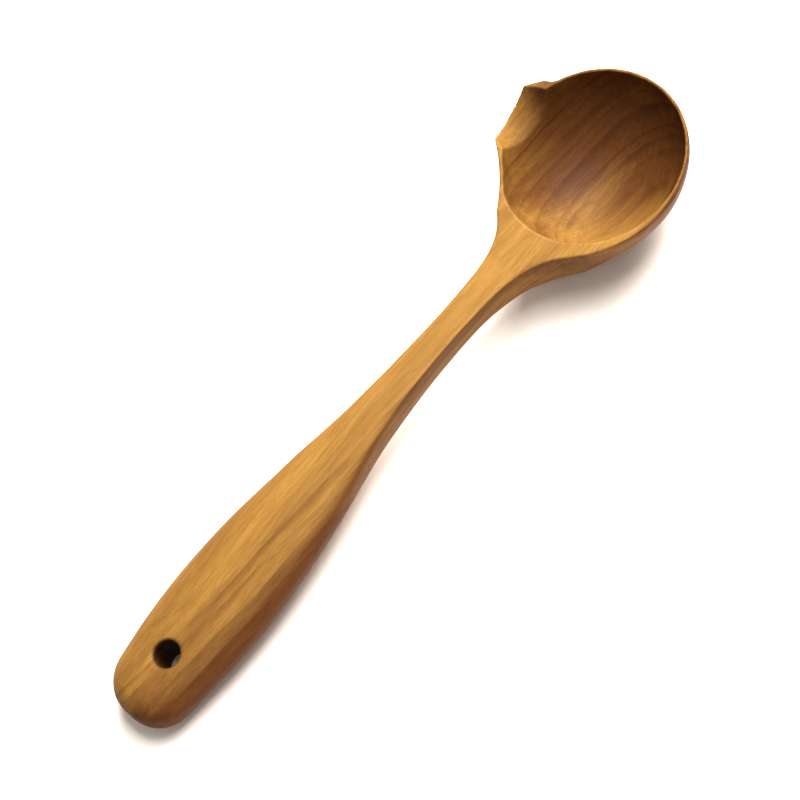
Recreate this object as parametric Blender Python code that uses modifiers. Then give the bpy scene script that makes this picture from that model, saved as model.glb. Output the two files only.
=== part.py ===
"""A wooden ladle carved from one board: round bowl, side pouring lip, slim neck and broad grip.

Metres, +Z up. The ladle lies as it rests on a table, at z = 0. The origin is the centre of the small
flat under the bowl, +X runs along the ladle from the grip to the bowl's tip, and the lip is on +Y.
The dimensions below are in millimetres and become metres where a mesh is made.
"""

import math

import bmesh
import bpy
from mathutils import Matrix, Vector

MM = 0.001

# Ladle, end to end
GRIP_END_X = -262.0
GRIP_NECK_JOINT_X = -132.0
NECK_BOWL_JOINT_X = -52.0
JOINT_GAP = 0.3

# Bowl
RIM_HEIGHT = 32.9
RIM_RISE = 0.07
BOWL_CENTRE = (0.0, 0.0)
BOWL_RADIUS = 36.8
BOWL_LENGTHENING = 1.035
BOWL_DEPTH = 34.0
BOWL_FULLNESS = 1.8
CAVITY_CENTRE = (1.5, 0.15)
CAVITY_RADIUS = 34.9
CAVITY_LENGTHENING = 1.012
CAVITY_DEPTH = 28.5
CAVITY_FULLNESS = 1.95
SHOULDER_END_X = -13.0
RIM_TRIM = 1.5
CAVITY_RISE = 6.0
RIM_BLOCK = (130.0, 130.0, 30.0)
TABLE_BLOCK = (120.0, 120.0, 20.0)

# Pouring lip: a straight scoop that climbs outwards through the rim
SCOOP_RADIUS = 15.0
SCOOP_CLIMB = math.radians(32.0)
SCOOP_HEADING = math.radians(97.0)
SCOOP_RIM_CROSSING = (-0.2, 21.5)
SCOOP_FROM = -6.0
SCOOP_TO = 50.0
UNDERSIDE_FROM = -40.0
LIP_THICKNESS = 3.6
LIP_NEAR_CORNER = (-13.6, 36.6)
LIP_MIDDLE = (-1.2, 41.1)
LIP_FAR_CORNER = (9.8, 41.4)
LIP_FAR_FOOT = (24.0, 29.0)
LIP_INNER_CORNERS = ((20.0, 20.0), (-30.0, 20.0))
LIP_NEAR_CORNERS = ((-24.0, 40.0), (-15.6, 37.0))
LIP_OUTLET_RADIUS = 60.0
LIP_DROP = 30.0
LIP_RISE = 12.0
# The left edge sweeps in one hollow arc from the neck to the lip's near corner
SWEEP_START = (-54.0, 7.0)
SWEEP_RADIUS = 100.0
SWEEP_LOW = 8.0
SWEEP_HIGH = 50.0
SWEEP_BEYOND_X = -70.0
SWEEP_BEYOND_Y = 60.0

# Hanging hole
HOLE_X = -236.3
HOLE_MIDDLE_Z = 10.0
HOLE_REACH = 30.0
HOLE_DIAMETER = 10.0
HOLE_LEAN = math.radians(5.0)

# Handle sections: place along X, half width, height of the top, thickness
HANDLE = (
    (-262.0, 15.5, 16.3, 16.1),
    (-247.0, 17.6, 17.7, 17.55),
    (-217.0, 20.0, 20.8, 18.2),
    (-187.0, 19.0, 23.6, 17.9),
    (-157.0, 14.7, 25.6, 17.5),
    (-127.0, 8.9, 27.1, 17.3),
    (-97.0, 6.2, 28.1, 16.4),
    (-72.0, 5.9, 28.3, 15.8),
    (-52.0, 7.7, 29.2, 19.3),
    (-40.0, 12.9, 30.0, 23.5),
    (-28.0, 23.0, 30.8, 26.0),
    (-13.0, 29.0, 31.9, 24.0),
)
# The neck's middle line bends a little away from the lip where the shoulders spread
SHOULDER_LEAN = -1.6
SHOULDER_LEAN_X = (-72.0, -32.0)
END_ROUND_X = -248.0
END_ROUND_LENGTH = END_ROUND_X - GRIP_END_X
END_ROUND_STEPS = 8
END_ROUND_TURN = math.radians(88.0)
ROUND_UNTIL_X = -172.0
CRISP_FROM_X = -92.0
GRIP_FULLNESS = 2.4
NECK_FULLNESS = 6.0
UNDERSIDE_FULLNESS = 2.5
GRIP_CROWN = 0.42
NECK_CROWN = 0.08
SECTION_POINTS = 28
TURNING_STEPS = 56
PROFILE_STEPS = 14

WOOD_ROUGHNESS = 0.45


def clear_scene():
    for obj in list(bpy.data.objects):
        bpy.data.objects.remove(obj, do_unlink=True)


def collection(name, hidden=False):
    made = bpy.data.collections.new(name)
    bpy.context.scene.collection.children.link(made)
    made.hide_render = hidden
    return made


def wood(name, colour):
    material = bpy.data.materials.new(name)
    material.use_nodes = True
    shader = material.node_tree.nodes["Principled BSDF"]
    shader.inputs["Base Color"].default_value = (*colour, 1.0)
    shader.inputs["Roughness"].default_value = WOOD_ROUGHNESS
    shader.inputs["Metallic"].default_value = 0.0
    material.diffuse_color = (*colour, 1.0)
    return material


def ease(value, start, end):
    """0 before start, 1 after end, with a soft S between them."""
    share = min(max((value - start) / (end - start), 0.0), 1.0)
    return share * share * (3.0 - 2.0 * share)


def through(stations, x, column):
    """The value at x of a smooth curve through one column of the stations."""
    places = [row[0] for row in stations]
    values = [row[column] for row in stations]
    last = len(places) - 2
    i = max(0, min(last, sum(place <= x for place in places) - 1))

    def slope(k):
        before, after = max(k - 1, 0), min(k + 1, len(places) - 1)
        return (values[after] - values[before]) / (places[after] - places[before])

    width = places[i + 1] - places[i]
    t = min(max((x - places[i]) / width, 0.0), 1.0)
    rise = values[i + 1] - values[i]
    bend = (slope(i) * width - rise) * (1.0 - t) - (slope(i + 1) * width - rise) * t
    return values[i] + rise * t + t * (1.0 - t) * bend


def rim_height(x):
    return RIM_HEIGHT + RIM_RISE * x


def power(value, exponent):
    return math.copysign(abs(value) ** exponent, value)


def handle_section(x, lift=0.0):
    """The points of the handle's outline across X, seen from the bowl: crowned top, rounded underside."""
    crisp = ease(x, ROUND_UNTIL_X, CRISP_FROM_X)
    end = min(max((END_ROUND_X - x) / END_ROUND_LENGTH, 0.0), 1.0)
    height = (1.0 - end**GRIP_FULLNESS) ** (1.0 / GRIP_FULLNESS)
    half_width = through(HANDLE, x, 1) * height
    thickness = through(HANDLE, x, 3)
    crown = thickness * (GRIP_CROWN + (NECK_CROWN - GRIP_CROWN) * crisp)
    widest = through(HANDLE, x, 2) - crown
    top_fullness = GRIP_FULLNESS + (NECK_FULLNESS - GRIP_FULLNESS) * crisp
    middle = SHOULDER_LEAN * ease(x, *SHOULDER_LEAN_X)
    points = []
    for k in range(SECTION_POINTS):
        angle = 2.0 * math.pi * k / SECTION_POINTS
        across, up = math.cos(angle), math.sin(angle)
        fullness = top_fullness if up > 0.0 else UNDERSIDE_FULLNESS
        reach = (crown + lift) if up > 0.0 else (thickness - crown)
        y = middle + half_width * power(across, 2.0 / fullness)
        z = widest + height * reach * power(up, 2.0 / fullness)
        points.append(Vector((x, y, z)) * MM)
    return points


def mesh_object(name, bm, home, material=None):
    bmesh.ops.recalc_face_normals(bm, faces=bm.faces)
    mesh = bpy.data.meshes.new(name)
    bm.to_mesh(mesh)
    bm.free()
    made = bpy.data.objects.new(name, mesh)
    home.objects.link(made)
    if home.hide_render:
        made.hide_render = True
        made.display_type = "WIRE"
    if material:
        mesh.materials.append(material)
    return made


def loft(name, places, home, material=None, lift_at=None):
    """A skin over the handle's sections at these places along X, closed at both ends."""
    bm = bmesh.new()
    rings = []
    for x in places:
        lift = lift_at(x) if lift_at else 0.0
        rings.append([bm.verts.new(point) for point in handle_section(x, lift)])
    for one, other in zip(rings, rings[1:]):
        for k in range(SECTION_POINTS):
            nxt = (k + 1) % SECTION_POINTS
            bm.faces.new((one[k], one[nxt], other[nxt], other[k]))
    bm.faces.new(rings[0])
    bm.faces.new(rings[-1])
    return mesh_object(name, bm, home, material)


def evenly(start, end, count):
    return [start + (end - start) * k / count for k in range(count + 1)]


def bowl_profile(radius, depth, fullness, above):
    """Half of the bowl's turned outline, from the bottom's middle up past the rim and back to the axis."""
    points = []
    for k in range(PROFILE_STEPS + 1):
        angle = 0.5 * math.pi * k / PROFILE_STEPS
        out = radius * math.sin(angle) ** (2.0 / fullness)
        points.append((out, -depth * max(math.cos(angle), 0.0) ** (2.0 / fullness)))
    points.append((radius, above))
    points.append((0.0, above))
    return points


def turned(name, profile, centre, stretch, home, material=None):
    """The profile turned round the bowl's axis, which leans so that the rim climbs towards the tip."""
    bm = bmesh.new()
    verts = [bm.verts.new(Vector((out, 0.0, up)) * MM) for out, up in profile]
    for one, other in zip(verts, verts[1:]):
        bm.edges.new((one, other))
    made = mesh_object(name, bm, home, material)
    screw = made.modifiers.new("turn", "SCREW")
    screw.axis = "Z"
    screw.steps = TURNING_STEPS
    screw.render_steps = TURNING_STEPS
    screw.use_merge_vertices = True
    screw.merge_threshold = 0.00001
    screw.use_normal_calculate = True
    screw.use_normal_flip = True
    made.scale = (stretch, 1.0, 1.0)
    made.rotation_euler = (0.0, -math.atan(RIM_RISE), 0.0)
    made.location = Vector((*centre, rim_height(centre[0]))) * MM
    return made


def prism(name, outline, low, high, home, material=None):
    bm = bmesh.new()
    face = bm.faces.new([bm.verts.new(Vector((x, y, low)) * MM) for x, y in outline])
    grown = bmesh.ops.extrude_face_region(bm, geom=[face])["geom"]
    lifted = [item for item in grown if isinstance(item, bmesh.types.BMVert)]
    bmesh.ops.translate(bm, verts=lifted, vec=Vector((0.0, 0.0, high - low)) * MM)
    return mesh_object(name, bm, home, material)


def cylinder(name, radius, low, high, matrix, home, sides=64):
    """A cylinder round the matrix's Z axis, between low and high along it."""
    bm = bmesh.new()
    bmesh.ops.create_cone(
        bm, cap_ends=True, segments=sides, radius1=radius * MM, radius2=radius * MM, depth=(high - low) * MM
    )
    middle = Matrix.Translation((0.0, 0.0, (low + high) / 2.0 * MM))
    bmesh.ops.transform(bm, matrix=matrix @ middle, verts=bm.verts)
    return mesh_object(name, bm, home)


def scoop_matrix():
    """The scoop's cylinder: its axis leaves the bowl over the lip and climbs as it goes."""
    flat = math.cos(SCOOP_CLIMB)
    heading = (math.cos(SCOOP_HEADING) * flat, math.sin(SCOOP_HEADING) * flat, math.sin(SCOOP_CLIMB))
    turn = Vector(heading).to_track_quat("Z", "Y").to_matrix().to_4x4()
    start = Vector((*SCOOP_RIM_CROSSING, rim_height(SCOOP_RIM_CROSSING[0]))) * MM
    return Matrix.Translation(start) @ turn


def arc(start, end, radius, count, side=1.0):
    """Points on a round arc from start to end; side picks which side of the chord it bulges to."""
    start, end = Vector(start), Vector(end)
    chord = end - start
    across = Vector((-chord.y, chord.x)).normalized() * side
    centre = (start + end) / 2.0 - across * math.sqrt(radius**2 - (chord.length / 2.0) ** 2)
    first = math.atan2(*(start - centre).yx)
    last = math.atan2(*(end - centre).yx)
    turn = (last - first + math.pi) % (2.0 * math.pi) - math.pi
    angles = [first + turn * k / count for k in range(count + 1)]
    return [(centre.x + radius * math.cos(a), centre.y + radius * math.sin(a)) for a in angles]


def boolean(obj, operation, other):
    modifier = obj.modifiers.new(f"{operation.lower()} {other.name}", "BOOLEAN")
    modifier.operation = operation
    modifier.solver = "EXACT"
    modifier.object = other
    return modifier


def rim_trimmer(home):
    """Everything above the tilted rim plane, over the shoulders, the bowl and the lip."""
    bm = bmesh.new()
    bmesh.ops.create_cube(bm, size=1.0)
    size = Vector(RIM_BLOCK) * MM
    tilt = Matrix.Rotation(-math.atan(RIM_RISE), 4, "Y")
    place = Matrix.Translation(Vector((0.0, 0.0, RIM_HEIGHT)) * MM)
    raised = Matrix.Translation((0.0, 0.0, size.z / 2.0))
    bmesh.ops.transform(bm, matrix=place @ tilt @ raised @ Matrix.Diagonal((*size, 1.0)), verts=bm.verts)
    return mesh_object("above_rim", bm, home)


def table(home):
    """Everything below the table, which sands the small flat under the bowl."""
    bm = bmesh.new()
    bmesh.ops.create_cube(bm, size=1.0)
    size = Vector(TABLE_BLOCK) * MM
    place = Matrix.Translation((0.0, 0.0, -size.z / 2.0))
    bmesh.ops.transform(bm, matrix=place @ Matrix.Diagonal((*size, 1.0)), verts=bm.verts)
    return mesh_object("table", bm, home)


def sweep_trimmer(home):
    """The wood outside the hollow arc of the left edge."""
    edge = arc(SWEEP_START, LIP_NEAR_CORNER, SWEEP_RADIUS, 20, side=-1.0)
    beyond = [
        (LIP_NEAR_CORNER[0] + 2.0, SWEEP_BEYOND_Y),
        (SWEEP_BEYOND_X, SWEEP_BEYOND_Y),
        (SWEEP_BEYOND_X, SWEEP_START[1]),
    ]
    return prism("left_sweep", edge + beyond, SWEEP_LOW, SWEEP_HIGH, home)


def shade_round(obj):
    for polygon in obj.data.polygons:
        polygon.use_smooth = True
    obj.data.set_sharp_from_angle(angle=math.radians(40.0))


def grip(home, cutters):
    """The broad rounded grip, from its rounded end to the neck, with the hanging hole."""
    rounding = [
        END_ROUND_X - END_ROUND_LENGTH * math.sin(END_ROUND_TURN * (1.0 - k / END_ROUND_STEPS))
        for k in range(END_ROUND_STEPS)
    ]
    straight = evenly(END_ROUND_X, GRIP_NECK_JOINT_X - JOINT_GAP / 2.0, 22)
    made = loft("grip", rounding + straight, home, wood("grip_wood", (0.46, 0.24, 0.09)))
    lean = Matrix.Rotation(-HOLE_LEAN, 4, "Y")
    place = Matrix.Translation(Vector((HOLE_X, 0.0, HOLE_MIDDLE_Z)) * MM)
    radius = HOLE_DIAMETER / 2.0
    hole = cylinder("hanging_hole", radius, -HOLE_REACH, HOLE_REACH, place @ lean, cutters, sides=40)
    boolean(made, "DIFFERENCE", hole)
    shade_round(made)
    return made


def neck(home):
    """The slim neck with its flat top and squared edges."""
    start = GRIP_NECK_JOINT_X + JOINT_GAP / 2.0
    places = evenly(start, NECK_BOWL_JOINT_X - JOINT_GAP / 2.0, 18)
    made = loft("neck", places, home, wood("neck_wood", (0.58, 0.33, 0.12)))
    shade_round(made)
    return made


def bowl(home, cutters, shared):
    """The bowl with the shoulders that spread into it from the neck."""
    colour = wood("bowl_wood", (0.30, 0.12, 0.04))
    outline = bowl_profile(BOWL_RADIUS, BOWL_DEPTH, BOWL_FULLNESS, RIM_TRIM)
    made = turned("bowl", outline, BOWL_CENTRE, BOWL_LENGTHENING, home, colour)
    places = evenly(NECK_BOWL_JOINT_X + JOINT_GAP / 2.0, SHOULDER_END_X, 16)
    shoulders = loft("shoulders", places, cutters, lift_at=lambda x: RIM_TRIM)
    hollow = bowl_profile(CAVITY_RADIUS, CAVITY_DEPTH, CAVITY_FULLNESS, CAVITY_RISE)
    cavity = turned("cavity", hollow, CAVITY_CENTRE, CAVITY_LENGTHENING, cutters)
    boolean(made, "UNION", shoulders)
    for cutter in (shared["above_rim"], shared["left_sweep"], cavity, shared["scoop"], shared["table"]):
        boolean(made, "DIFFERENCE", cutter)
    return made


def pouring_lip(home, cutters, shared):
    """The lip that stands out of the bowl's left side, hollowed by the scoop."""
    near_half = arc(LIP_NEAR_CORNER, LIP_MIDDLE, LIP_OUTLET_RADIUS, 4)
    far_half = arc(LIP_MIDDLE, LIP_FAR_CORNER, LIP_OUTLET_RADIUS, 4)
    outline = [*LIP_NEAR_CORNERS, *near_half, *far_half[1:], LIP_FAR_FOOT, *LIP_INNER_CORNERS]
    low, high = RIM_HEIGHT - LIP_DROP, RIM_HEIGHT + LIP_RISE
    colour = wood("lip_wood", (0.42, 0.20, 0.08))
    made = prism("pouring_lip", outline[::-1], low, high, home, colour)
    radius = SCOOP_RADIUS + LIP_THICKNESS
    underside = cylinder("underside", radius, UNDERSIDE_FROM, SCOOP_TO, scoop_matrix(), cutters)
    radius, depth = BOWL_RADIUS + JOINT_GAP, BOWL_DEPTH + JOINT_GAP
    clearance = bowl_profile(radius, depth, BOWL_FULLNESS, LIP_RISE)
    outside = turned("outside_of_bowl", clearance, BOWL_CENTRE, BOWL_LENGTHENING, cutters)
    boolean(made, "INTERSECT", underside)
    for cutter in (shared["above_rim"], shared["left_sweep"], outside, shared["scoop"]):
        boolean(made, "DIFFERENCE", cutter)
    shade_round(made)
    return made


def main():
    clear_scene()
    ladle = collection("ladle")
    cutters = collection("cutters", hidden=True)
    shared = {
        "above_rim": rim_trimmer(cutters),
        "left_sweep": sweep_trimmer(cutters),
        "scoop": cylinder("scoop", SCOOP_RADIUS, SCOOP_FROM, SCOOP_TO, scoop_matrix(), cutters),
        "table": table(cutters),
    }
    grip(ladle, cutters)
    neck(ladle)
    bowl(ladle, cutters, shared)
    pouring_lip(ladle, cutters, shared)


main()
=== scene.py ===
"""The looks of a wooden ladle: one continuous carved skin in oiled wood, on a plain pale floor.

The ladle's form is a distance rule, worked out by Geometry Nodes: handle sections, a turned bowl, a pouring
lip and the hollows that are cut from them. A block of small cells samples the rule, the skin is drawn where
the distance is nought, and every corner of it is then moved onto the exact form.
The frame is the CAD's: +X from the grip to the bowl's tip, +Y the lip's side, the table at z = 0. The carved
sizes are in millimetres, and scene places are in metres.
"""

import math

import bpy
from mathutils import Matrix, Vector


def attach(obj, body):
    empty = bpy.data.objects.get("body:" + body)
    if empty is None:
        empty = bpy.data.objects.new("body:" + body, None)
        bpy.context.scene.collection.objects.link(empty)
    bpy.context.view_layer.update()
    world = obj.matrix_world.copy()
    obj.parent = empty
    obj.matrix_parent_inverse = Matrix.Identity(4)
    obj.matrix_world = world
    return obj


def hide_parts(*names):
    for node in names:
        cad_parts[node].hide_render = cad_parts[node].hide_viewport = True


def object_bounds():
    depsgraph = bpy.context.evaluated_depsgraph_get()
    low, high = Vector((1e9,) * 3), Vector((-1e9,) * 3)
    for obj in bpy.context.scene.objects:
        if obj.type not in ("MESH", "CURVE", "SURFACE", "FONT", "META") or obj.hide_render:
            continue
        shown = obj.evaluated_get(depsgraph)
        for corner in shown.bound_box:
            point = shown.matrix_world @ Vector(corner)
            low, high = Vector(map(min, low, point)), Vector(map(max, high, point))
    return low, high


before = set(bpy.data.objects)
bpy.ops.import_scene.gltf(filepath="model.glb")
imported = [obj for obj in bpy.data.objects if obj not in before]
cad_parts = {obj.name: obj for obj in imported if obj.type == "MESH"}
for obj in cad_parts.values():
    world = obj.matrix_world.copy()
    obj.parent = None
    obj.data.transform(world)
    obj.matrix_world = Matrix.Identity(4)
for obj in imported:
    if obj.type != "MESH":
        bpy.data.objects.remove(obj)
CAD_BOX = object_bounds()

MM = 0.001

# Bowl and its hollow, turned round an axis that leans so that the rim climbs towards the tip
RIM_HEIGHT = 32.9
RIM_RISE = 0.07
RIM_LEAN = math.atan(RIM_RISE)
BOWL_CENTRE = (0.0, 0.0)
BOWL_RADIUS = 36.8
BOWL_LENGTHENING = 1.035
BOWL_DEPTH = 34.0
BOWL_FULLNESS = 1.8
CAVITY_CENTRE = (1.5, 0.15)
CAVITY_RADIUS = 34.9
CAVITY_LENGTHENING = 1.012
CAVITY_DEPTH = 28.5
CAVITY_FULLNESS = 1.95
RIM_TRIM = 1.5
RIM_CUT_FROM_X = -50.0
LEAST_WALL = 1.5

# Pouring lip: a straight scoop that climbs outwards through the rim, in a wall that follows it
SCOOP_RADIUS = 15.0
SCOOP_CLIMB = math.radians(32.0)
SCOOP_HEADING = math.radians(97.0)
SCOOP_CROSSING = (-0.2, 21.5)
SCOOP_FROM = -6.0
LIP_FROM = -4.0
LIP_THICKNESS = 3.6
OUTLET_MIDDLE = (6.2, 0.4)
OUTLET_RADIUS = 41.4
LIP_FAR_CORNER = (10.3, 41.0)
LIP_FAR_FOOT = (24.0, 29.0)
SWEEP_MIDDLE = (-78.5, 83.2)
SWEEP_RADIUS = 80.0
SWEEP_FROM_X = -54.0
DRAW_AWAY = 0.02

# Hanging hole
HOLE_X = -236.3
HOLE_MIDDLE_Z = 10.0
HOLE_DIAMETER = 10.0
HOLE_LEAN = math.radians(5.0)

# Handle sections: place along X, half width, height of the top, thickness
HANDLE = (
    (-262.0, 14.6, 16.3, 16.1),
    (-247.0, 17.5, 17.7, 17.55),
    (-217.0, 20.0, 20.8, 18.2),
    (-187.0, 19.0, 23.6, 17.9),
    (-157.0, 14.7, 25.6, 17.5),
    (-127.0, 8.9, 27.1, 17.3),
    (-97.0, 6.2, 28.1, 16.4),
    (-72.0, 5.9, 28.3, 15.8),
    (-52.0, 7.7, 29.2, 19.3),
    (-40.0, 12.9, 30.0, 23.5),
    (-28.0, 23.0, 30.8, 26.0),
    (-13.0, 29.0, 31.9, 24.0),
)
CURVE_POINTS = 50
SHOULDER_LIFT_X = (-52.0, -30.0)
SHOULDER_LEAN = -1.6
SHOULDER_LEAN_X = (-72.0, -32.0)
END_LEAN = -0.6
END_LEAN_X = (-230.0, -262.0)
END_ROUND_X = -248.0
END_ROUND_LENGTH = 14.0
CRISPING_X = (-172.0, -92.0)
GRIP_FULLNESS = 2.4
NECK_FULLNESS = 6.0
UNDERSIDE_FULLNESS = 2.5
GRIP_CROWN = 0.42
NECK_CROWN = 0.08

# How softly one shape runs into the next, and how round each carved edge is
BOWL_BLEND = 7.0
LIP_BLEND = 2.5
LEAST_WALL_BLEND = 2.0
OUTLET_EDGE = 0.5
LIP_SIDE_EDGE = 0.4
SWEEP_EDGE = 0.7
RIM_EDGE = 0.6
RIM_ROLL = 2.8
RIM_ROLL_X = (-18.0, 6.0)
RIM_ROLL_Y = (-16.0, -32.0)
CAVITY_EDGE = 0.3
HOLE_EDGE = 2.4
TABLE_EDGE = 1.2

# The unevenness of hand work: how far the surface strays, and how often in a metre
HAND_WANDER = 0.35
WANDERS_IN_A_METRE = 38.0

# How the skin is drawn
CELL = 0.69
BLOCK_MARGIN = 1.5
SKIN_LEVEL = 0.5
LEVEL_FALL = 0.2
SLOPE_STEP = 0.04
LEAST_SLOPE = 0.05
LEAST_EGG_SLOPE = 0.004
WELD_REACH = 0.02

# Wood colours: the board's two, then the shades that multiply them
GOLDEN = (0.262, 0.132, 0.026, 1.0)
RED_BROWN = (0.098, 0.034, 0.0075, 1.0)
FIBRE_SHADE = (0.54, 0.44, 0.34, 1.0)
LAYER_SHADE = (0.42, 0.28, 0.20, 1.0)
PORE_SHADE = (0.35, 0.24, 0.17, 1.0)
END_GRAIN_SHADE = (0.55, 0.42, 0.32, 1.0)
# Painted shade inside the hanging hole, together with the singed wood at its edge
HOLE_SHADE_AND_SINGE_COLOUR = (0.16, 0.10, 0.07, 1.0)
PAPER = (0.97, 0.885, 0.80, 1.0)

# Light: name, place, side of the square, power and colour
LIGHTS = (
    ("key", (1.06, 0.42, 0.95), 1.3, 74.0, (1.0, 0.97, 0.93)),
    ("overhead", (0.50, 0.0, 1.40), 1.0, 38.0, (1.0, 1.0, 1.0)),
)
LIT_PLACE = (-0.08, 0.0, 0.0)
SURROUNDING_LIGHT = 0.5

# Camera
CAMERA_TARGET = (-0.112, -0.002, 0.020)
CAMERA_SIDE = (-0.152, -0.4665, 0.8713)
CAMERA_DISTANCE = 0.992
CAMERA_ROLL = math.radians(-32.0)
CAMERA_LENS = 122.2
CAMERA_SENSOR = 36.0


# ---------------------------------------------------------------- node trees


class Number:
    """A number that changes from place to place. Each sum of such numbers adds one Math node to the tree."""

    def __init__(self, tree, socket):
        self.tree = tree
        self.socket = socket

    def math(self, operation, *others, clamp=False):
        node = self.tree.nodes.new("ShaderNodeMath")
        node.operation = operation
        node.use_clamp = clamp
        for socket, value in zip(node.inputs, (self, *others)):
            feed(self.tree, value, socket)
        return Number(self.tree, node.outputs[0])

    def __add__(self, other):
        return self.math("ADD", other)

    def __sub__(self, other):
        return self.math("SUBTRACT", other)

    def __rsub__(self, other):
        return self.math("MULTIPLY_ADD", -1.0, other)

    def __mul__(self, other):
        return self.math("MULTIPLY", other)

    def __truediv__(self, other):
        return self.math("DIVIDE", other)

    def __rtruediv__(self, other):
        return self.math("POWER", -1.0) * other

    def __pow__(self, other):
        return self.math("POWER", other)

    def __neg__(self):
        return self.math("MULTIPLY", -1.0)

    __radd__ = __add__
    __rmul__ = __mul__

    def size(self):
        return self.math("ABSOLUTE")

    def root(self):
        return self.math("SQRT")

    def at_least(self, other):
        return self.math("MAXIMUM", other)

    def at_most(self, other):
        return self.math("MINIMUM", other)


def feed(tree, value, socket):
    """Links a Number or a socket to an input, or sets a plain value on it."""
    if isinstance(value, Number):
        tree.links.new(value.socket, socket)
    elif isinstance(value, bpy.types.NodeSocket):
        tree.links.new(value, socket)
    else:
        socket.default_value = value


def node(tree, kind, settings=None, **inputs):
    """A new node with its settings, and its inputs fed by name; underscores stand for spaces."""
    made = tree.nodes.new(kind)
    for name, value in (settings or {}).items():
        setattr(made, name, value)
    for name, value in inputs.items():
        feed(tree, value, made.inputs[name.replace("_", " ")])
    return made


def new_tree(name, kind, inputs, outputs):
    """(tree, its input node, its output node), with the sockets given as (name, kind, default)."""
    tree = bpy.data.node_groups.new(name, kind)
    for label, socket, default in inputs:
        made = tree.interface.new_socket(label, in_out="INPUT", socket_type=socket)
        if default is not None:
            made.default_value = default
    for label, socket in outputs:
        tree.interface.new_socket(label, in_out="OUTPUT", socket_type=socket)
    return tree, tree.nodes.new("NodeGroupInput"), tree.nodes.new("NodeGroupOutput")


def split(tree, vector):
    parts = node(tree, "ShaderNodeSeparateXYZ", Vector=vector)
    return [Number(tree, parts.outputs[axis]) for axis in "XYZ"]


def join(tree, x, y, z):
    return node(tree, "ShaderNodeCombineXYZ", X=x, Y=y, Z=z).outputs[0]


def ease(value, start, end, low=0.0, high=1.0):
    """low before start, high after end, with a soft S between them."""
    ramp = node(
        value.tree,
        "ShaderNodeMapRange",
        {"interpolation_type": "SMOOTHSTEP"},
        Value=value,
        From_Min=start,
        From_Max=end,
        To_Min=low,
        To_Max=high,
    )
    return Number(value.tree, ramp.outputs[0])


def texture(tree, place, scale, detail=2.0, roughness=0.5, twist=0.0):
    """Soft noise between about 0 and 1 at this place."""
    made = node(
        tree,
        "ShaderNodeTexNoise",
        Vector=place,
        Scale=scale,
        Detail=detail,
        Roughness=roughness,
        Distortion=twist,
    )
    return Number(tree, made.outputs[0])


def soft_union(one, other, blend):
    return one.math("SMOOTH_MIN", other, blend)


def soft_common(one, other, blend):
    return one.math("SMOOTH_MAX", other, blend)


def soft_cut(body, void, blend):
    return body.math("SMOOTH_MAX", -void, blend)


# ---------------------------------------------------------------- the carved form


def through(stations, x, column):
    """The value at x of a smooth curve through one column of the stations."""
    places = [row[0] for row in stations]
    values = [row[column] for row in stations]
    last = len(places) - 2
    i = max(0, min(last, sum(place <= x for place in places) - 1))

    def slope(k):
        before, after = max(k - 1, 0), min(k + 1, len(places) - 1)
        return (values[after] - values[before]) / (places[after] - places[before])

    width = places[i + 1] - places[i]
    t = min(max((x - places[i]) / width, 0.0), 1.0)
    rise = values[i + 1] - values[i]
    bend = (slope(i) * width - rise) * (1.0 - t) - (slope(i + 1) * width - rise) * t
    return values[i] + rise * t + t * (1.0 - t) * bend


def along_handle(x, column):
    """One measure of the handle as a drawn curve from the grip's end to the shoulders."""
    first, last = HANDLE[0][0], HANDLE[-1][0]
    places = [k / CURVE_POINTS for k in range(CURVE_POINTS + 1)]
    values = [through(HANDLE, first + (last - first) * place, column) for place in places]
    low, high = min(values), max(values)
    drawn = node(x.tree, "ShaderNodeFloatCurve", Value=(x - first) / (last - first))
    points = drawn.mapping.curves[0].points
    for place, value in zip(places, values):
        level = (value - low) / (high - low)
        if place == 0.0:
            points[0].location = (place, level)
        elif place == 1.0:
            points[-1].location = (place, level)
        else:
            points.new(place, level)
    drawn.mapping.update()
    return Number(x.tree, drawn.outputs[0]) * (high - low) + low


def egg(across, up, half_width, half_height, fullness, ahead=None, length=1.0):
    """Distance outside a full oval section; ahead and length round it off lengthwise."""
    ways = [((across / half_width).size(), half_width), ((up / half_height).size(), half_height)]
    if ahead:
        ways.append((ahead / length, length))
    total, square = 0.0, 0.0
    for share, reach in ways:
        total = share**fullness + total
        steepness = share ** (fullness - 1.0) / reach
        square = steepness * steepness + square
    slope = square.root() * total ** (1.0 / fullness - 1.0)
    return (total ** (1.0 / fullness) - 1.0) / slope.at_least(LEAST_EGG_SLOPE)


def handle_form(x, y, z):
    """The grip, the neck and the shoulders that spread into the bowl."""
    crisp = ease(x, *CRISPING_X)
    half_width = along_handle(x, 1)
    thickness = along_handle(x, 3)
    crown = thickness * (crisp * (NECK_CROWN - GRIP_CROWN) + GRIP_CROWN)
    widest = along_handle(x, 2) - crown
    up = z - widest
    above = up.math("GREATER_THAN", 0.0)
    lift = ease(x, *SHOULDER_LIFT_X, 0.0, RIM_TRIM)
    under = thickness - crown
    reach = under + above * (crown + lift - under)
    top_fullness = crisp * (NECK_FULLNESS - GRIP_FULLNESS) + GRIP_FULLNESS
    fullness = above * (top_fullness - UNDERSIDE_FULLNESS) + UNDERSIDE_FULLNESS
    middle = ease(x, *SHOULDER_LEAN_X, 0.0, SHOULDER_LEAN) + ease(x, *END_LEAN_X, 0.0, END_LEAN)
    ahead = (END_ROUND_X - x).at_least(0.0)
    section = egg(y - middle, up, half_width, reach, fullness, ahead, END_ROUND_LENGTH)
    return section.at_least(x - HANDLE[-1][0])


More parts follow.
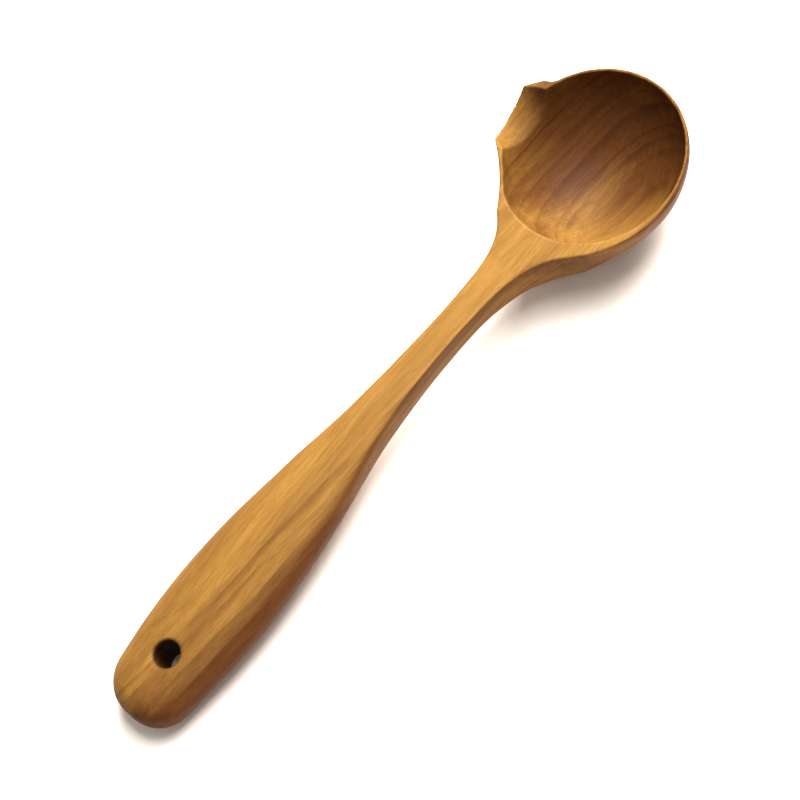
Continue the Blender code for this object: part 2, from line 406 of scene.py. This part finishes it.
def turned_form(x, y, z, centre, radius, depth, fullness, stretch):
    """A bowl shape turned round the leaning axis, with straight walls above the rim."""
    ahead, side = x - centre[0], y - centre[1]
    up = z - (RIM_HEIGHT + RIM_RISE * centre[0])
    forward = (ahead * math.cos(RIM_LEAN) + up * math.sin(RIM_LEAN)) / stretch
    height = up * math.cos(RIM_LEAN) - ahead * math.sin(RIM_LEAN)
    out = (forward * forward + side * side).root()
    return egg(out, height.at_most(0.0), radius, depth, fullness)


def round_bar(x, y, z, start, heading):
    """(distance from the middle line, distance along it) of a straight bar."""
    off = [value - place for value, place in zip((x, y, z), start)]
    along = off[0] * heading[0] + off[1] * heading[1] + off[2] * heading[2]
    square = off[0] * off[0] + off[1] * off[1] + off[2] * off[2] - along * along
    return square.at_least(0.0).root(), along


def ladle_form():
    """A node group: how far a place is outside the wood, in millimetres."""
    sizes = (
        ("Position", "NodeSocketVector", None),
        ("Bowl Radius", "NodeSocketFloat", BOWL_RADIUS),
        ("Bowl Depth", "NodeSocketFloat", BOWL_DEPTH),
        ("Cavity Radius", "NodeSocketFloat", CAVITY_RADIUS),
        ("Cavity Depth", "NodeSocketFloat", CAVITY_DEPTH),
        ("Scoop Radius", "NodeSocketFloat", SCOOP_RADIUS),
        ("Lip Thickness", "NodeSocketFloat", LIP_THICKNESS),
        ("Hole Diameter", "NodeSocketFloat", HOLE_DIAMETER),
        ("Hand Wander", "NodeSocketFloat", 0.0),
    )
    tree, start, end = new_tree("Ladle Form", "GeometryNodeTree", sizes, [("Distance", "NodeSocketFloat")])
    size = {name: Number(tree, start.outputs[name]) for name, _, _ in sizes[1:]}
    x, y, z = [value / MM for value in split(tree, start.outputs["Position"])]

    handle = handle_form(x, y, z)
    outside = (size["Bowl Radius"], size["Bowl Depth"], BOWL_FULLNESS, BOWL_LENGTHENING)
    bowl = turned_form(x, y, z, BOWL_CENTRE, *outside)
    wood = soft_union(handle, bowl, BOWL_BLEND)

    climb = math.cos(SCOOP_CLIMB)
    heading = (math.cos(SCOOP_HEADING) * climb, math.sin(SCOOP_HEADING) * climb, math.sin(SCOOP_CLIMB))
    crossing = (*SCOOP_CROSSING, RIM_HEIGHT + RIM_RISE * SCOOP_CROSSING[0])
    off_axis, along = round_bar(x, y, z, crossing, heading)
    lip = off_axis - (size["Scoop Radius"] + size["Lip Thickness"])
    outlet_x, outlet_y = x - OUTLET_MIDDLE[0], y - OUTLET_MIDDLE[1]
    outlet = (outlet_x * outlet_x + outlet_y * outlet_y).root() - OUTLET_RADIUS
    far = Vector(LIP_FAR_FOOT) - Vector(LIP_FAR_CORNER)
    outward = Vector((-far.y, far.x)).normalized()
    far_side = x * outward.x + y * outward.y - outward.dot(Vector(LIP_FAR_FOOT))
    lip = soft_common(soft_common(lip, outlet, OUTLET_EDGE), far_side, LIP_SIDE_EDGE)
    lip = lip.at_least(LIP_FROM - along)
    wood = soft_union(wood, lip, LIP_BLEND)

    sweep_x, sweep_y = x - SWEEP_MIDDLE[0], y - SWEEP_MIDDLE[1]
    past = (SWEEP_FROM_X - x).at_least(0.0)
    from_middle = (sweep_x * sweep_x + sweep_y * sweep_y).root()
    beyond_sweep = SWEEP_RADIUS - from_middle - past * past * DRAW_AWAY
    wood = soft_common(wood, beyond_sweep, SWEEP_EDGE)

    wander = texture(tree, start.outputs["Position"], WANDERS_IN_A_METRE, 1.0)
    wood = wood + (wander - 0.5) * size["Hand Wander"]

    past = (RIM_CUT_FROM_X - x).at_least(0.0)
    above_rim = z - RIM_HEIGHT - x * RIM_RISE - past * past * DRAW_AWAY
    edge = ease(y, *RIM_ROLL_Y) * ease(x, *RIM_ROLL_X) * RIM_ROLL + RIM_EDGE
    wood = soft_common(wood, above_rim * math.cos(RIM_LEAN), edge)

    inside = (size["Cavity Radius"], size["Cavity Depth"], CAVITY_FULLNESS, CAVITY_LENGTHENING)
    cavity = turned_form(x, y, z, CAVITY_CENTRE, *inside)
    cavity = soft_common(cavity, beyond_sweep + LEAST_WALL, LEAST_WALL_BLEND)
    scoop = (off_axis - size["Scoop Radius"]).at_least(SCOOP_FROM - along)
    wood = soft_cut(wood, soft_union(cavity, scoop, CAVITY_EDGE), CAVITY_EDGE)

    lean = (-math.sin(HOLE_LEAN), 0.0, math.cos(HOLE_LEAN))
    hole, _ = round_bar(x, y, z, (HOLE_X, 0.0, HOLE_MIDDLE_Z), lean)
    wood = soft_cut(wood, hole - size["Hole Diameter"] / 2.0, HOLE_EDGE)
    wood = soft_common(wood, -z, TABLE_EDGE)
    feed(tree, wood, end.inputs["Distance"])
    return tree


def group(tree, inner, start, **inputs):
    """The inner group as a node, with the inputs of the same name passed on."""
    made = tree.nodes.new("GeometryNodeGroup")
    made.node_tree = inner
    for socket in made.inputs:
        if socket.name in inputs:
            feed(tree, inputs[socket.name], socket)
        elif socket.name in start.outputs:
            tree.links.new(start.outputs[socket.name], socket)
    return Number(tree, made.outputs[0])


def onto_form(tree, form, start, geometry):
    """Moves each corner of the skin onto the exact form, along the way in which the distance grows."""
    place = node(tree, "GeometryNodeInputPosition").outputs[0]
    here = group(tree, form, start, Position=place)
    slopes = []
    for axis in range(3):
        shift = [0.0, 0.0, 0.0]
        shift[axis] = SLOPE_STEP * MM
        moved = node(tree, "ShaderNodeVectorMath", {"operation": "ADD"})
        feed(tree, place, moved.inputs[0])
        moved.inputs[1].default_value = shift
        slopes.append((group(tree, form, start, Position=moved.outputs[0]) - here) / SLOPE_STEP)
    steep = slopes[0] * slopes[0] + slopes[1] * slopes[1] + slopes[2] * slopes[2]
    back = here / steep.at_least(LEAST_SLOPE) * -MM
    offset = join(tree, *[slope * back for slope in slopes])
    return node(tree, "GeometryNodeSetPosition", Geometry=geometry, Offset=offset).outputs[0]


def ladle_skin(form):
    """The whole ladle's tree: sample the form in a block of cells, draw the skin, and true it up."""
    sizes = [
        ("Geometry", "NodeSocketGeometry", None),
        ("Block Low", "NodeSocketVector", None),
        ("Block High", "NodeSocketVector", None),
        ("Cells Long", "NodeSocketInt", 64),
        ("Cells Wide", "NodeSocketInt", 64),
        ("Cells High", "NodeSocketInt", 64),
        ("Wood", "NodeSocketMaterial", None),
    ]
    for item in form.interface.items_tree:
        if item.in_out == "INPUT" and item.name != "Position":
            sizes.append((item.name, item.socket_type, item.default_value))
    tree, start, end = new_tree("Ladle Skin", "GeometryNodeTree", sizes, [("Geometry", "NodeSocketGeometry")])
    place = node(tree, "GeometryNodeInputPosition").outputs[0]
    distance = group(tree, form, start, Position=place)
    block = node(
        tree,
        "GeometryNodeVolumeCube",
        Density=SKIN_LEVEL - distance * LEVEL_FALL,
        Min=start.outputs["Block Low"],
        Max=start.outputs["Block High"],
        Resolution_X=start.outputs["Cells Long"],
        Resolution_Y=start.outputs["Cells Wide"],
        Resolution_Z=start.outputs["Cells High"],
    )
    to_mesh = {"resolution_mode": "GRID"}
    skin = node(
        tree, "GeometryNodeVolumeToMesh", to_mesh, Volume=block.outputs[0], Threshold=SKIN_LEVEL
    ).outputs[0]
    for _ in range(2):
        skin = onto_form(tree, form, start, skin)
    skin = node(tree, "GeometryNodeMergeByDistance", Geometry=skin, Distance=WELD_REACH * MM).outputs[0]
    skin = node(tree, "GeometryNodeSetShadeSmooth", Geometry=skin).outputs[0]
    skin = node(tree, "GeometryNodeRealizeInstances", Geometry=skin).outputs[0]
    skin = node(
        tree, "GeometryNodeSetMaterial", Geometry=skin, Material=start.outputs["Wood"]
    ).outputs[0]
    tree.links.new(skin, end.inputs["Geometry"])
    return tree


def carve(name, tree, **inputs):
    """The tree's result as a plain mesh object at the origin."""
    holder = bpy.data.objects.new(name + "_maker", bpy.data.meshes.new(name + "_maker"))
    bpy.context.scene.collection.objects.link(holder)
    modifier = holder.modifiers.new("form", "NODES")
    modifier.node_group = tree
    for item in tree.interface.items_tree:
        key = item.name.replace(" ", "_")
        if item.in_out == "INPUT" and key in inputs:
            modifier[item.identifier] = inputs[key]
    graph = bpy.context.evaluated_depsgraph_get()
    mesh = bpy.data.meshes.new_from_object(holder.evaluated_get(graph))
    mesh.name = name
    bpy.data.objects.remove(holder)
    made = bpy.data.objects.new(name, mesh)
    bpy.context.scene.collection.objects.link(made)
    return made


def make_ladle(wood):
    low, high = CAD_BOX
    margin = Vector((BLOCK_MARGIN, BLOCK_MARGIN, BLOCK_MARGIN)) * MM
    low, high = Vector(low) - margin, Vector(high) + margin
    cells = [int(round((high[axis] - low[axis]) / (CELL * MM))) for axis in range(3)]
    return carve(
        "ladle",
        ladle_skin(ladle_form()),
        Block_Low=tuple(low),
        Block_High=tuple(high),
        Cells_Long=cells[0],
        Cells_Wide=cells[1],
        Cells_High=cells[2],
        Wood=wood,
        Hand_Wander=HAND_WANDER,
    )


# ---------------------------------------------------------------- materials


def tint(tree, amount, under, over, mode="MIX"):
    """One colour laid over another by an amount between 0 and 1."""
    made = tree.nodes.new("ShaderNodeMix")
    made.data_type = "RGBA"
    made.blend_type = mode
    made.clamp_factor = True
    for socket, value in zip((made.inputs[0], made.inputs[6], made.inputs[7]), (amount, under, over)):
        feed(tree, value, socket)
    return made.outputs[2]


def board_grain():
    """A node group: the figure of a board whose fibres run along X, as masks between 0 and 1."""
    outputs = [(name, "NodeSocketFloat") for name in ("Layers", "Bands", "Fibres", "Pores", "Relief")]
    inputs = [
        ("Position", "NodeSocketVector", None),
        ("Layer Width", "NodeSocketFloat", 4.6),
        ("Wander", "NodeSocketFloat", 5.0),
        ("Pith Y", "NodeSocketFloat", -100.0),
        ("Pith Z", "NodeSocketFloat", -85.0),
    ]
    tree, start, end = new_tree("Board Grain", "ShaderNodeTree", inputs, outputs)
    size = {name: Number(tree, start.outputs[name]) for name, _, _ in inputs[1:]}
    x, y, z = [value / MM for value in split(tree, start.outputs["Position"])]

    bend = texture(tree, join(tree, x * 0.009, y * 0.018, z * 0.018), 1.0, 2.0) - 0.5
    ripple = texture(tree, join(tree, x * 0.055, y * 0.05, z * 0.05), 1.0, 2.0) - 0.5
    y = y + bend * size["Wander"] * 2.0 + ripple * 1.1
    z = z + ripple * 0.7
    from_pith_y, from_pith_z = y - size["Pith Y"], z - size["Pith Z"]
    from_pith = (from_pith_y * from_pith_y + from_pith_z * from_pith_z).root()
    uneven = texture(tree, join(tree, x * 0.004, from_pith * 0.11, 0.0), 1.0, 1.0) * 2.2
    count = from_pith / size["Layer Width"] + uneven
    age = count.math("FRACT")
    ring = node(tree, "ShaderNodeTexWhiteNoise", {"noise_dimensions": "1D"}, W=count.math("FLOOR"))
    strength = Number(tree, ring.outputs["Value"]) ** 1.5
    patchy = ease(texture(tree, join(tree, x * 0.02, y * 0.1, z * 0.1), 1.0, 2.0), 0.35, 0.62)
    late = ease(age, 0.35, 0.9) * ease(age, 1.0, 0.93)
    feed(tree, (late * (strength * 0.85 + 0.15) * (patchy * 0.7 + 0.3)), end.inputs["Layers"])

    bands = texture(tree, join(tree, x * 0.006, y * 0.09, z * 0.06), 1.0, 3.0, 0.55)
    feed(tree, ease(bands, 0.3, 0.7), end.inputs["Bands"])

    broad = texture(tree, join(tree, x * 0.022, y * 0.8, z * 0.8), 1.0, 4.0, 0.65, 0.25)
    fine = texture(tree, join(tree, x * 0.08, y * 2.4, z * 2.4), 1.0, 3.0, 0.65)
    fibres = broad * 0.6 + fine * 0.4
    feed(tree, ease(fibres, 0.36, 0.64), end.inputs["Fibres"])

    dash = texture(tree, join(tree, x * 0.32, y * 3.1, z * 3.1), 1.0, 1.0, 0.4)
    early = ease(age, 0.5, 0.05) * 0.05
    pores = ease(dash + early, 0.72, 0.80)
    feed(tree, pores, end.inputs["Pores"])
    feed(tree, fibres * 0.5 - pores * 0.9, end.inputs["Relief"])
    return tree


def oiled_wood():
    """Oiled hardwood in one board: golden, with red-brown in its darker bands and regions; part of that
    red-brown is painted shade, and the lip's scoop is painted lighter.
    """
    material = bpy.data.materials.new("oiled_wood")
    material.use_nodes = True
    tree = material.node_tree
    shader = tree.nodes["Principled BSDF"]
    place = node(tree, "ShaderNodeTexCoord").outputs["Object"]
    grain = tree.nodes.new("ShaderNodeGroup")
    grain.node_tree = board_grain()
    feed(tree, place, grain.inputs["Position"])
    layers, bands, fibres, pores, relief = [Number(tree, socket) for socket in grain.outputs]
    x, y, z = [value / MM for value in split(tree, place)]
    facing = node(tree, "ShaderNodeNewGeometry").outputs["Normal"]
    towards_x, towards_y, _ = split(tree, facing)
    facing_x = towards_x.size()

    cloud = texture(tree, join(tree, x * 0.012, y * 0.035, z * 0.035), 1.0, 2.0)
    # Painted shade: the grip's -Y side, away from the key light, is tinted towards red-brown.
    grip_side_painted_shade = ease(y, 4.0, -16.0) * ease(x, -120.0, -190.0)
    grip_end = ease(x, -205.0, -262.0)
    # Partly the wood's own red-brown and partly painted shade: the bowl is tinted darker towards the tip and
    # the lip's side, where its hollow lies in shade.
    bowl_tone_and_painted_shade = ease(x + y * 0.35, -30.0, 30.0)
    # Painted shade: the inside of the bowl's hollow is tinted darker.
    painted_bowl_shade = ease((x * x + y * y).root(), 35.5, 31.0)
    # Painted shade: faces that turn towards -Y and -X, away from the lights, are tinted darker.
    away = ease(towards_y, -0.25, -0.85) * ease(y, 24.0, 8.0) * 0.6 + ease(towards_x, -0.2, -0.9) * 0.3
    # Painted light: the lip's scoop, which lies in shade from the key, is tinted lighter.
    painted_scoop_light = ease(y, 28.0, 34.0) * ease(x, 18.0, 4.0)
    # Wood tone together with painted shade and painted light, summed as one red-brown amount.
    wood_tone_and_painted_light = grip_side_painted_shade * 0.5 + grip_end * 0.25 + bowl_tone_and_painted_shade * 0.65 + painted_bowl_shade * 0.35 + away - painted_scoop_light * 0.5
    warm = wood_tone_and_painted_light + (cloud - 0.5) * 0.8 + (bands - 0.5) * 0.55
    warm = warm.math("ADD", 0.05, clamp=True)

    colour = tint(tree, warm, GOLDEN, RED_BROWN)
    colour = tint(tree, fibres * 0.55, colour, FIBRE_SHADE, "MULTIPLY")
    colour = tint(tree, layers * 0.85, colour, LAYER_SHADE, "MULTIPLY")
    colour = tint(tree, pores * 0.5, colour, PORE_SHADE, "MULTIPLY")
    end_grain = ease(facing_x, 0.55, 0.95)
    colour = tint(tree, end_grain * 0.4, colour, END_GRAIN_SHADE, "MULTIPLY")

    # Painted shade inside the hanging hole, with singeing at its edge: the hole's wall and rim are tinted
    # dark.
    hole_x = x - HOLE_X + (z - HOLE_MIDDLE_Z) * math.tan(HOLE_LEAN)
    from_hole = (hole_x * hole_x + y * y).root()
    hole_shade_and_singe = ease(from_hole, HOLE_DIAMETER / 2.0 + 1.6, HOLE_DIAMETER / 2.0 - 0.1)
    colour = tint(tree, hole_shade_and_singe * 0.85, colour, HOLE_SHADE_AND_SINGE_COLOUR, "MULTIPLY")
    feed(tree, colour, shader.inputs["Base Color"])

    rough = fibres * 0.10 + pores * 0.22 + end_grain * 0.10 + 0.46
    feed(tree, rough, shader.inputs["Roughness"])
    shader.inputs["Specular IOR Level"].default_value = 0.08
    bump = node(tree, "ShaderNodeBump", Height=relief, Strength=0.35, Distance=0.00012)
    feed(tree, bump.outputs[0], shader.inputs["Normal"])
    return material


# ---------------------------------------------------------------- the scene


def make_floor():
    mesh = bpy.data.meshes.new("floor")
    side = 6.0
    corners = [(-side, -side, 0), (side, -side, 0), (side, side, 0), (-side, side, 0)]
    mesh.from_pydata(corners, [], [(0, 1, 2, 3)])
    floor = bpy.data.objects.new("floor", mesh)
    bpy.context.scene.collection.objects.link(floor)
    material = bpy.data.materials.new("white_paper")
    material.use_nodes = True
    shader = material.node_tree.nodes["Principled BSDF"]
    shader.inputs["Base Color"].default_value = PAPER
    shader.inputs["Roughness"].default_value = 0.9
    shader.inputs["Specular IOR Level"].default_value = 0.1
    mesh.materials.append(material)


def soft_box(name, place, side, power, colour):
    light = bpy.data.lights.new(name, "AREA")
    light.shape = "RECTANGLE"
    light.size, light.size_y = side, side
    light.energy = power
    light.color = colour
    made = bpy.data.objects.new(name, light)
    bpy.context.scene.collection.objects.link(made)
    made.location = place
    made.rotation_euler = (Vector(LIT_PLACE) - Vector(place)).to_track_quat("-Z", "Y").to_euler()


def make_light():
    world = bpy.data.worlds.new("studio")
    bpy.context.scene.world = world
    world.use_nodes = True
    background = world.node_tree.nodes["Background"]
    background.inputs["Color"].default_value = (1.0, 1.0, 1.0, 1.0)
    background.inputs["Strength"].default_value = SURROUNDING_LIGHT
    for light in LIGHTS:
        soft_box(*light)
    bpy.context.scene.view_settings.view_transform = "Standard"


def make_camera():
    camera = bpy.data.cameras.new("camera")
    camera.lens = CAMERA_LENS
    camera.sensor_width = CAMERA_SENSOR
    made = bpy.data.objects.new("camera", camera)
    bpy.context.scene.collection.objects.link(made)
    away = Vector(CAMERA_SIDE).normalized()
    made.location = Vector(CAMERA_TARGET) + away * CAMERA_DISTANCE
    look = (-away).to_track_quat("-Z", "Y").to_matrix()
    made.rotation_euler = (look @ Matrix.Rotation(CAMERA_ROLL, 3, "Z")).to_euler()
    bpy.context.scene.camera = made


make_floor()
make_light()
make_camera()
ladle = make_ladle(oiled_wood())
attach(ladle, "root")
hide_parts("bowl", "pouring_lip", "neck", "grip")
